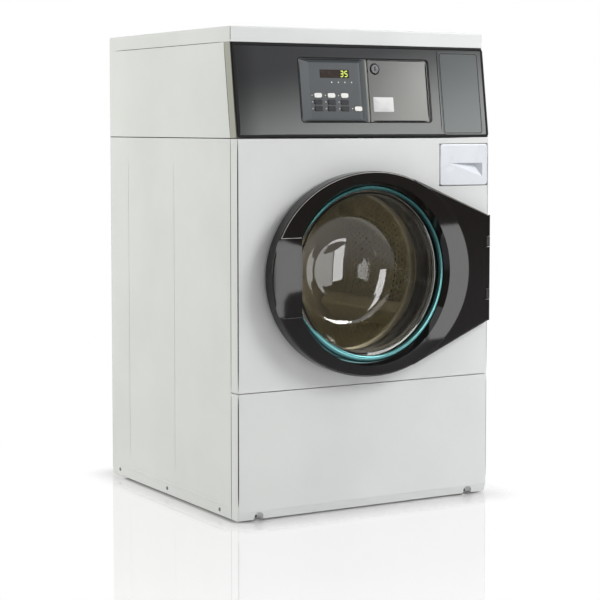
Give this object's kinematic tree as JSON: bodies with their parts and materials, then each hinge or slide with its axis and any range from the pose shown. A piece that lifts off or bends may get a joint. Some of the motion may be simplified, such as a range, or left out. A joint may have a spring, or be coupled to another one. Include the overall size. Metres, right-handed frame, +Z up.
{
  "type": "commercial washing machine",
  "caption": "Front-loading commercial washing machine: white steel cabinet, sloping grey console with keypad, detergent drawer and a round glass door in a black oval frame.",
  "frame": {"origin": "on the floor, under the middle of the overall box", "axes": "+Z up, front faces -Y, +X to the right of someone facing the front"},
  "size_m": [0.683, 0.742, 1.11],
  "materials": {
    "white_paint": "semi-gloss powder coat",
    "galvanised": "galvanised sheet",
    "frame_paint": "matt paint",
    "zinc_steel": "zinc plated",
    "console_grey": "fine texture",
    "insert_grey": "smooth film",
    "bezel_grey": "satin",
    "display_brown": "smoked clear",
    "key_white": "satin",
    "key_dark": "satin",
    "board_green": "solder mask",
    "plate_steel": "satin paint on steel",
    "lock_chrome": "plated",
    "drawer_white": "gloss moulding",
    "dispenser_grey": "natural moulding",
    "valve_plastic": "glass-filled moulding",
    "hose_rubber": "matt",
    "gland_black": "matt",
    "door_black": "high gloss",
    "door_glass": "clear tempered",
    "ring_teal": "tinted translucent",
    "hinge_black": "satin black",
    "gasket_rubber": "matt",
    "stainless": "bright annealed",
    "iron_grey": "as cast, painted",
    "cast_alloy": "die cast",
    "bearing_steel": "ground",
    "motor_grey": "satin paint",
    "damper_black": "satin paint"
  },
  "bodies": {
    "cabinet": {"base_frame": "frame_paint", "blank_insert": "insert_grey", "cable_gland": "gland_black", "console_fascia": "console_grey", "console_panel": "white_paint", "control_bezel": "bezel_grey", "control_board": "board_green", "counterweights": "iron_grey", "dampers": "damper_black", "dispenser_housing": "dispenser_grey", "display_window": "display_brown", "door_gasket": "gasket_rubber", "door_lock": "gland_black", "drain_hose": "hose_rubber", "drain_pump": "valve_plastic", "drive_belt": "hose_rubber", "drum_bearings": "bearing_steel", "fill_hoses": "hose_rubber", "front_panel": "white_paint", "hinge_bracket": "hinge_black", "hinge_pin": "zinc_steel", "inlet_valves": "valve_plastic", "left_side_panel": "white_paint", "levelling_feet": "zinc_steel", "lower_front_panel": "white_paint", "motor_body": "motor_grey", "rear_access_cover": "galvanised", "rear_panel": "galvanised", "right_side_panel": "white_paint", "shaft_seal": "gasket_rubber", "suspension_springs": "zinc_steel", "top_cover": "white_paint", "tub_front": "stainless", "tub_rear": "stainless", "upper_left_panel": "white_paint", "upper_right_panel": "white_paint"},
    "door": {"door_outer_frame": "door_black", "door_inner_frame": "door_black", "door_glass": "door_glass", "door_trim_ring": "ring_teal", "door_strike": "zinc_steel"},
    "drawer": {"drawer_front": "drawer_white", "dispenser_tray": "dispenser_grey"},
    "drum": {"drum_shell": "stainless", "drum_baffles": "stainless", "drum_spider": "cast_alloy", "drum_pulley": "cast_alloy"},
    "motor_rotor": {"motor_pulley": "zinc_steel"},
    "service_plate": {"service_plate": "plate_steel"},
    "lock_cylinder": {"lock_cylinder": "lock_chrome"},
    "key_1": {"keypad_key_1": "key_white"},
    "key_2": {"keypad_key_2": "key_white"},
    "key_3": {"keypad_key_3": "key_white"},
    "key_4": {"keypad_key_4": "key_dark"},
    "key_5": {"keypad_key_5": "key_dark"},
    "key_6": {"keypad_key_6": "key_dark"},
    "key_7": {"keypad_key_7": "key_dark"},
    "key_8": {"keypad_key_8": "key_dark"},
    "key_9": {"keypad_key_9": "key_dark"},
    "key_10": {"keypad_key_10": "key_white"}
  },
  "joints": [
    {"name": "door_hinge", "type": "hinge", "parent": "cabinet", "child": "door", "pos_m": [0.329, -0.3415, 0.55], "axis": [0, 0, 1], "range_deg": [0, 150]},
    {"name": "drawer_slide", "type": "slide", "parent": "cabinet", "child": "drawer", "axis": [0, -1, 0], "range_m": [0, 0.18]},
    {"name": "drum_spin", "type": "hinge", "parent": "cabinet", "child": "drum", "pos_m": [-0.009, 0, 0.55], "axis": [0, 1, 0], "continuous": true},
    {"name": "motor_spin", "type": "hinge", "parent": "cabinet", "child": "motor_rotor", "pos_m": [0.11, 0, 0.15], "axis": [0, 1, 0], "continuous": true},
    {"name": "service_plate_hinge", "type": "hinge", "parent": "cabinet", "child": "service_plate", "pos_m": [0.1784, -0.31036, 0.96946], "axis": [0, 0.1388, 0.9903], "range_deg": [0, 90]},
    {"name": "lock_turn", "type": "hinge", "parent": "service_plate", "child": "lock_cylinder", "pos_m": [0.0327, -0.30334, 1.01957], "axis": [0, 0.9903, -0.1388], "range_deg": [0, 90]},
    {"name": "key_1_press", "type": "slide", "parent": "cabinet", "child": "key_1", "axis": [0, 0.9903, -0.1388], "range_m": [0, 0.0008], "stiffness_N_per_m": 700, "springref_m": -0.0006},
    {"name": "key_2_press", "type": "slide", "parent": "cabinet", "child": "key_2", "axis": [0, 0.9903, -0.1388], "range_m": [0, 0.0008], "stiffness_N_per_m": 700, "springref_m": -0.0006},
    {"name": "key_3_press", "type": "slide", "parent": "cabinet", "child": "key_3", "axis": [0, 0.9903, -0.1388], "range_m": [0, 0.0008], "stiffness_N_per_m": 700, "springref_m": -0.0006},
    {"name": "key_4_press", "type": "slide", "parent": "cabinet", "child": "key_4", "axis": [0, 0.9903, -0.1388], "range_m": [0, 0.0008], "stiffness_N_per_m": 700, "springref_m": -0.0006},
    {"name": "key_5_press", "type": "slide", "parent": "cabinet", "child": "key_5", "axis": [0, 0.9903, -0.1388], "range_m": [0, 0.0008], "stiffness_N_per_m": 700, "springref_m": -0.0006},
    {"name": "key_6_press", "type": "slide", "parent": "cabinet", "child": "key_6", "axis": [0, 0.9903, -0.1388], "range_m": [0, 0.0008], "stiffness_N_per_m": 700, "springref_m": -0.0006},
    {"name": "key_7_press", "type": "slide", "parent": "cabinet", "child": "key_7", "axis": [0, 0.9903, -0.1388], "range_m": [0, 0.0008], "stiffness_N_per_m": 700, "springref_m": -0.0006},
    {"name": "key_8_press", "type": "slide", "parent": "cabinet", "child": "key_8", "axis": [0, 0.9903, -0.1388], "range_m": [0, 0.0008], "stiffness_N_per_m": 700, "springref_m": -0.0006},
    {"name": "key_9_press", "type": "slide", "parent": "cabinet", "child": "key_9", "axis": [0, 0.9903, -0.1388], "range_m": [0, 0.0008], "stiffness_N_per_m": 700, "springref_m": -0.0006},
    {"name": "key_10_press", "type": "slide", "parent": "cabinet", "child": "key_10", "axis": [0, 0.9903, -0.1388], "range_m": [0, 0.0008], "stiffness_N_per_m": 700, "springref_m": -0.0006}
  ],
  "couplings": [
    {"joint": "motor_spin", "follows": "drum_spin", "ratio": 9.5}
  ]
}
